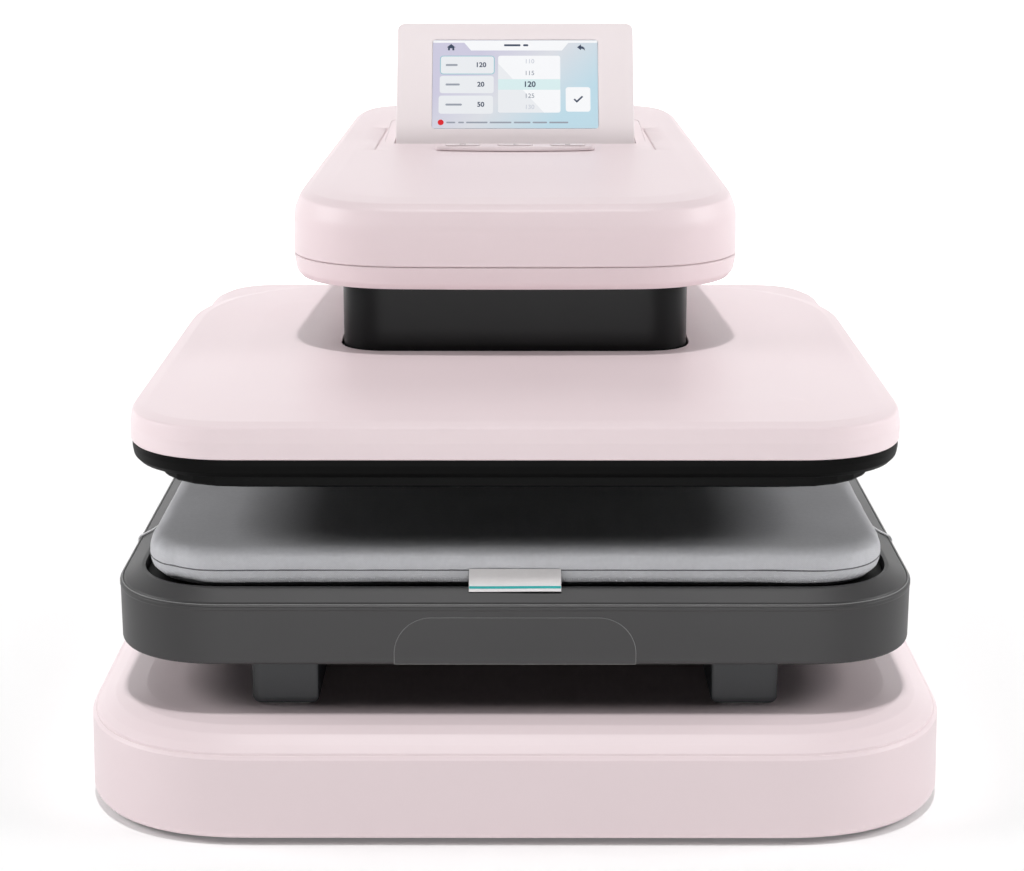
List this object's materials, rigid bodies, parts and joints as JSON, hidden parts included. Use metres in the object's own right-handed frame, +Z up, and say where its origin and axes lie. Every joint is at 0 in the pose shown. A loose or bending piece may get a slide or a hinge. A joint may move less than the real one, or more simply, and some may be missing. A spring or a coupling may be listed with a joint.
{
  "type": "automatic heat press",
  "caption": "Desktop motor-driven heat press: a hood with a heat plate comes down a short column onto a padded pull-out tray; tilting touch screen on the head.",
  "frame": {"origin": "middle of the footprint, on the surface that the feet stand on", "axes": "+Z is up, -Y to the front where the tray slides out, +X to the right seen from the front"},
  "size_m": [0.4624, 0.59, 0.3849],
  "materials": {
    "pink_plastic": "satin moulded, pale pink",
    "dark_plastic": "fine textured, dark grey",
    "black_plastic": "satin black",
    "column_plastic": "satin, charcoal",
    "pad_fabric": "woven heat-resistant cloth over foam",
    "tag_fabric": "woven tape",
    "elastic": "braided elastic",
    "steel": "plain sheet and bar",
    "plated_steel": "bright plated",
    "coated_aluminium": "non-stick coated, dark",
    "brass": "machined",
    "foot_rubber": "matt",
    "heater_mica": "mica laminate",
    "insulation": "pressed ceramic fibre",
    "circuit_board": "solder-masked",
    "display_glass": "printed cover glass over a lit display",
    "key_plastic": "satin, paler than the casing"
  },
  "bodies": {
    "frame": {"base_shell": "pink_plastic", "base_plate": "steel", "foot_front_left": "foot_rubber", "foot_front_right": "foot_rubber", "foot_rear_left": "foot_rubber", "foot_rear_right": "foot_rubber", "rail_bearer_left": "steel", "rail_bearer_right": "steel", "mast_frame": "steel", "mast_cover_front": "black_plastic", "mast_cover_rear": "pink_plastic", "power_inlet": "black_plastic", "switch_bezel": "black_plastic", "power_supply": "steel", "control_board": "circuit_board", "head_upper_shell": "pink_plastic", "head_lower_shell": "pink_plastic", "column_collar": "column_plastic", "screen_well": "pink_plastic", "screen_hinge_pin": "plated_steel", "key_bar": "pink_plastic", "head_beam": "steel", "guide_bush_left": "brass", "guide_bush_right": "brass", "thrust_bearing": "plated_steel", "drive_motor": "plated_steel", "slide_outer_left": "plated_steel", "slide_outer_right": "plated_steel"},
    "press": {"hood_shell": "pink_plastic", "hood_skirt": "black_plastic", "heat_plate": "coated_aluminium", "heater_mat": "heater_mica", "insulation_board": "insulation", "crosshead": "steel", "column_sleeve": "column_plastic", "lead_screw": "plated_steel", "guide_rod_left": "plated_steel", "guide_rod_right": "plated_steel"},
    "nut": {"drive_nut": "brass", "nut_gear": "steel"},
    "pinion": {"motor_pinion": "steel"},
    "drawer": {"tray_shell": "dark_plastic", "tray_pull": "dark_plastic", "lower_platen": "steel", "press_pad": "pad_fabric", "pad_tag": "tag_fabric", "pad_elastic_left": "elastic", "pad_elastic_right": "elastic", "runner_housing_left": "black_plastic", "runner_housing_right": "black_plastic", "slide_inner_left": "plated_steel", "slide_inner_right": "plated_steel"},
    "middle_slide_left": {"slide_middle_left": "plated_steel"},
    "middle_slide_right": {"slide_middle_right": "plated_steel"},
    "screen": {"screen_housing": "pink_plastic", "display_glass": "display_glass"},
    "key_left": {"key_left": "key_plastic"},
    "key_middle": {"key_middle": "key_plastic"},
    "key_right": {"key_right": "key_plastic"},
    "rocker": {"power_rocker": "black_plastic"}
  },
  "joints": [
    {"name": "press_slide", "type": "slide", "parent": "frame", "child": "press", "axis": [0, 0, -1], "range_m": [0, 0.0322]},
    {"name": "nut_spin", "type": "hinge", "parent": "frame", "child": "nut", "pos_m": [0, -0.017, 0.25], "axis": [0, 0, 1], "range_deg": [0, 2899]},
    {"name": "pinion_spin", "type": "hinge", "parent": "frame", "child": "pinion", "pos_m": [-0.0375, -0.017, 0.25], "axis": [0, 0, 1], "range_deg": [-8697, 0]},
    {"name": "drawer_slide", "type": "slide", "parent": "frame", "child": "drawer", "axis": [0, -1, 0], "range_m": [0, 0.28]},
    {"name": "middle_slide_left", "type": "slide", "parent": "frame", "child": "middle_slide_left", "axis": [0, -1, 0], "range_m": [0, 0.14]},
    {"name": "middle_slide_right", "type": "slide", "parent": "frame", "child": "middle_slide_right", "axis": [0, -1, 0], "range_m": [0, 0.14]},
    {"name": "screen_tilt", "type": "hinge", "parent": "frame", "child": "screen", "pos_m": [0, 0.1189, 0.3071], "axis": [1, 0, 0], "range_deg": [-57, 15]},
    {"name": "key_left_press", "type": "slide", "parent": "frame", "child": "key_left", "axis": [0, 0, -1], "range_m": [0, 0.0008], "stiffness_N_per_m": 300, "springref_m": -0.0006},
    {"name": "key_middle_press", "type": "slide", "parent": "frame", "child": "key_middle", "axis": [0, 0, -1], "range_m": [0, 0.0008], "stiffness_N_per_m": 300, "springref_m": -0.0006},
    {"name": "key_right_press", "type": "slide", "parent": "frame", "child": "key_right", "axis": [0, 0, -1], "range_m": [0, 0.0008], "stiffness_N_per_m": 300, "springref_m": -0.0006},
    {"name": "rocker_tilt", "type": "hinge", "parent": "frame", "child": "rocker", "pos_m": [0.062, 0.2723, 0.0962], "axis": [1, 0, 0], "range_deg": [0, 14]}
  ],
  "couplings": [
    {"joint": "nut_spin", "follows": "press_slide", "rad_per_m": 1570.8},
    {"joint": "pinion_spin", "follows": "press_slide", "rad_per_m": -4712.4},
    {"joint": "middle_slide_left", "follows": "drawer_slide", "ratio": 0.5},
    {"joint": "middle_slide_right", "follows": "drawer_slide", "ratio": 0.5}
  ]
}
